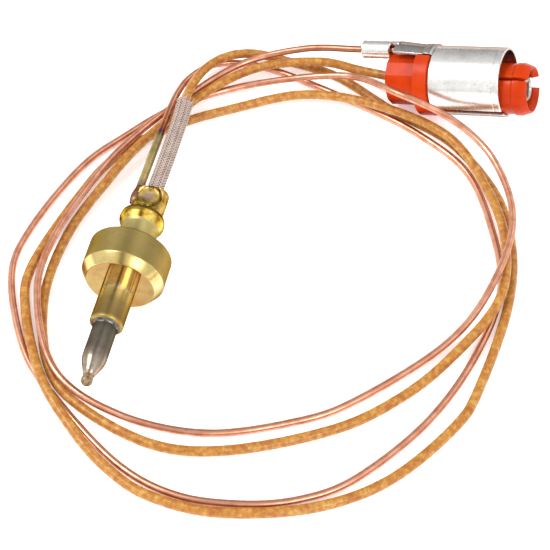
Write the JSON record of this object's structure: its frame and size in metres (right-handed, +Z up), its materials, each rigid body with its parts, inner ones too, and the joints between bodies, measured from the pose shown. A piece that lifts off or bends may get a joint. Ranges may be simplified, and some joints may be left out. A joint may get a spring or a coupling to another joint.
{
  "type": "thermocouple",
  "caption": "Gas hob flame-failure thermocouple: metal probe with a brass mounting flange, a bare return wire, a sleeved live wire and a coaxial snap connector.",
  "frame": {"origin": "under the middle of the probe head, on the surface that it rests on", "axes": "+Z up, the probe's axis along Y at z = 6.25 mm with its tip towards -Y, and the leads and connector towards +Y and +X"},
  "size_m": [0.0757, 0.0885, 0.0149],
  "materials": {
    "turned_brass": "fine turned, slightly tarnished",
    "nickel_alloy": "heat-darkened satin",
    "silver_braze": "smooth solidified braze",
    "constantan": "drawn wire",
    "bare_copper": "bare drawn copper wire, heat-tinted at the head",
    "copper_braze": "matt solidified braze",
    "ochre_sleeve": "flexible sleeve with faint wrinkles",
    "glass_braid": "braided glass yarn",
    "ceramic": "matt unglazed",
    "orange_plastic": "satin moulded plastic",
    "tinned_sheet": "tinned and rolled sheet",
    "tinned_contact": "tinned and bright"
  },
  "bodies": {
    "root": {"hot_junction_bead": "nickel_alloy", "probe_sheath": "nickel_alloy", "probe_core_wire": "constantan", "probe_insulator": "ceramic", "braze_ring": "silver_braze", "mounting_body": "turned_brass", "lead_crimp": "turned_brass", "core_splice": "bare_copper", "rear_bush": "ceramic", "live_wire_start": "bare_copper", "return_wire_braze": "copper_braze", "return_lead": "bare_copper", "live_lead": "ochre_sleeve", "braided_sleeve": "glass_braid", "connector_housing": "orange_plastic", "ground_shell": "tinned_sheet", "centre_contact": "tinned_contact", "live_wire_end": "bare_copper", "return_wire_end": "bare_copper"}
  },
  "joints": []
}
